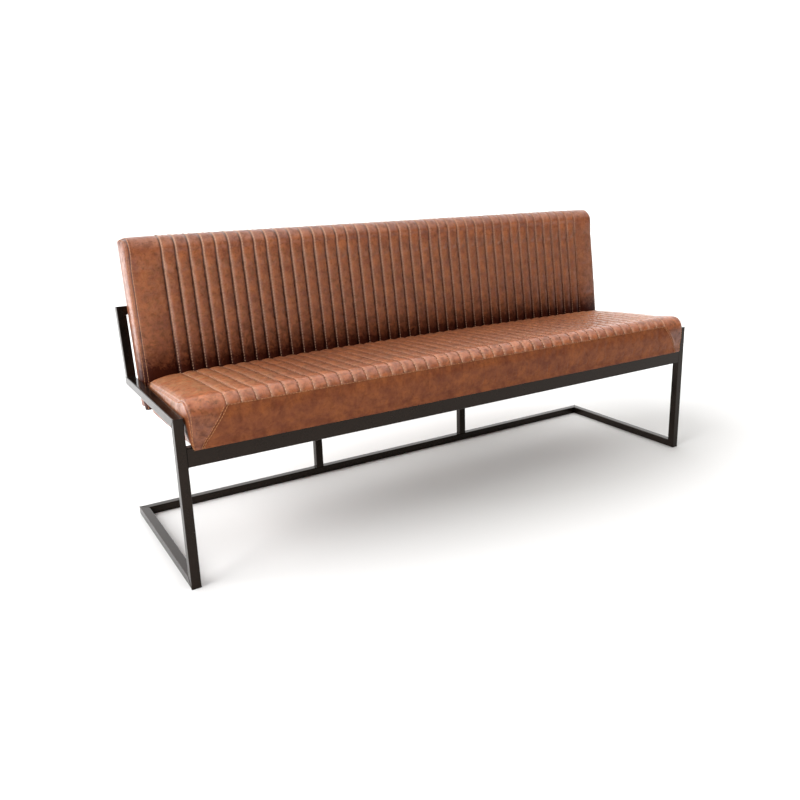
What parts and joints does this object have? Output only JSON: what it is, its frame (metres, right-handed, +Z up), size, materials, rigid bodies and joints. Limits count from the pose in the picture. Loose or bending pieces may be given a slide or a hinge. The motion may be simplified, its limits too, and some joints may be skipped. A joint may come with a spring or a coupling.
{
  "type": "upholstered bench",
  "caption": "Long upholstered bench with a back: brown leather cushions with sewn channels on a black welded square-tube steel frame that stands on floor rails.",
  "frame": {"origin": "on the floor, under the middle of the bench's length and depth", "axes": "+X along the bench, to the right as seen from the front, +Y to the back, +Z up"},
  "size_m": [1.8, 0.5731, 0.845],
  "materials": {
    "frame_steel": "black powder coat, satin",
    "cover_leather": "waxed vintage leather, semi-gloss",
    "foam": "open-cell foam",
    "plywood": "bare birch plywood",
    "dust_cloth": "non-woven cloth",
    "zinc_steel": "zinc plated",
    "plug_plastic": "moulded"
  },
  "bodies": {
    "root": {"back_board": "plywood", "back_bolts": "zinc_steel", "back_channel_panel": "cover_leather", "back_crossbar": "frame_steel", "back_foam": "foam", "back_foot_brackets": "frame_steel", "back_foot_panel": "cover_leather", "back_left_end_panel": "cover_leather", "back_left_side_panel": "cover_leather", "back_rear_panel": "cover_leather", "back_right_end_panel": "cover_leather", "back_right_side_panel": "cover_leather", "back_tee_nuts": "zinc_steel", "back_top_band": "cover_leather", "front_seat_rail": "frame_steel", "left_back_upright": "frame_steel", "left_floor_rail": "frame_steel", "left_front_leg": "frame_steel", "left_seat_bearer": "frame_steel", "left_side_rail": "frame_steel", "left_support_post": "frame_steel", "rear_floor_rail": "frame_steel", "right_back_upright": "frame_steel", "right_floor_rail": "frame_steel", "right_front_leg": "frame_steel", "right_seat_bearer": "frame_steel", "right_side_rail": "frame_steel", "right_support_post": "frame_steel", "seat_board": "plywood", "seat_bolts": "zinc_steel", "seat_channel_panel": "cover_leather", "seat_dust_cover": "dust_cloth", "seat_fixing_tabs": "frame_steel", "seat_foam": "foam", "seat_front_band": "cover_leather", "seat_left_end_panel": "cover_leather", "seat_left_side_panel": "cover_leather", "seat_rear_panel": "cover_leather", "seat_right_end_panel": "cover_leather", "seat_right_side_panel": "cover_leather", "seat_tee_nuts": "zinc_steel", "side_rail_end_plugs": "plug_plastic"}
  },
  "joints": []
}
